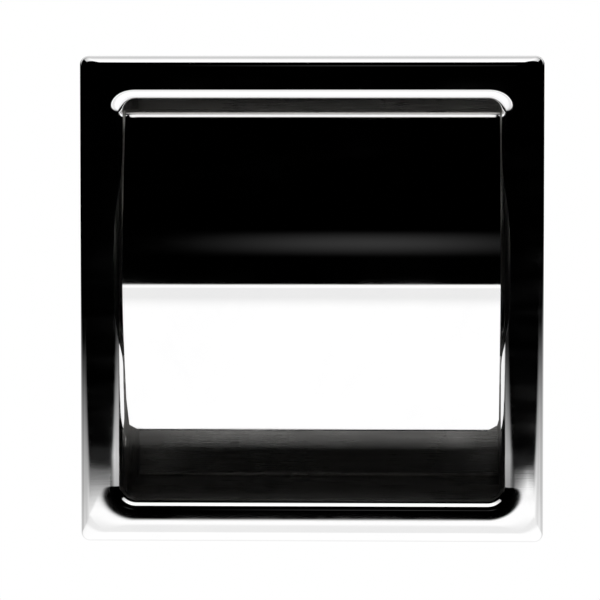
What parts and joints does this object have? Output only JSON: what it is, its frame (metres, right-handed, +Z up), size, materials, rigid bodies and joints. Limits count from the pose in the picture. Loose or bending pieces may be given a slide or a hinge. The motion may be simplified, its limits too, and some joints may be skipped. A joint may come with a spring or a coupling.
{
  "type": "recessed toilet paper holder",
  "caption": "Recessed wall-mounted toilet paper holder with a polished frame, a curved hinged cover and a sprung roller inside.",
  "frame": {"origin": "middle of the face frame, in the plane of the wall's surface that the frame's rim rests on", "axes": "+X to the right, +Z up, -Y out of the wall towards the user; the recess box goes towards +Y"},
  "size_m": [0.171, 0.115, 0.1794],
  "materials": {
    "polished_steel": "mirror-polished stainless steel sheet",
    "brushed_steel": "stainless steel sheet, brushed along its length",
    "plain_steel": "plain stainless steel, satin",
    "spring_steel": "spring steel",
    "roller_chrome": "chrome-plated steel tube",
    "roller_plastic": "moulded light grey plastic",
    "zinc_steel": "zinc-plated steel",
    "nylon": "nylon",
    "rubber": "black rubber"
  },
  "bodies": {
    "housing": {"face_frame": "polished_steel", "recess_wrap": "brushed_steel", "side_plate_left": "brushed_steel", "side_plate_right": "brushed_steel", "hinge_pin_left": "plain_steel", "hinge_pin_right": "plain_steel", "hinge_washer_left": "nylon", "hinge_washer_right": "nylon", "pin_clip_left": "spring_steel", "pin_clip_right": "spring_steel", "stop_tab_left": "plain_steel", "stop_tab_right": "plain_steel", "bumper_left": "rubber", "bumper_right": "rubber", "roller_socket_left": "plain_steel", "roller_socket_right": "plain_steel", "socket_rivets_left": "plain_steel", "socket_rivets_right": "plain_steel", "clamp_bracket": "zinc_steel", "clamp_screws": "zinc_steel", "clamp_nuts": "zinc_steel"},
    "cover": {"cover_plate": "polished_steel"},
    "roller": {"roller_sleeve": "roller_chrome", "roller_end_left": "roller_plastic", "roller_spring": "spring_steel"},
    "plunger": {"roller_plunger": "roller_chrome", "roller_end_right": "roller_plastic"}
  },
  "joints": [
    {"name": "cover_hinge", "type": "hinge", "parent": "housing", "child": "cover", "pos_m": [0, 0.01, 0.0655], "axis": [-1, 0, 0], "range_deg": [0, 70]},
    {"name": "roller_spin", "type": "hinge", "parent": "housing", "child": "roller", "pos_m": [0, 0.036, -0.01], "axis": [1, 0, 0], "continuous": true},
    {"name": "roller_compress", "type": "slide", "parent": "roller", "child": "plunger", "axis": [-1, 0, 0], "range_m": [0, 0.0105], "stiffness_N_per_m": 400, "springref_m": -0.0125, "deforming": ["roller_spring"]}
  ]
}
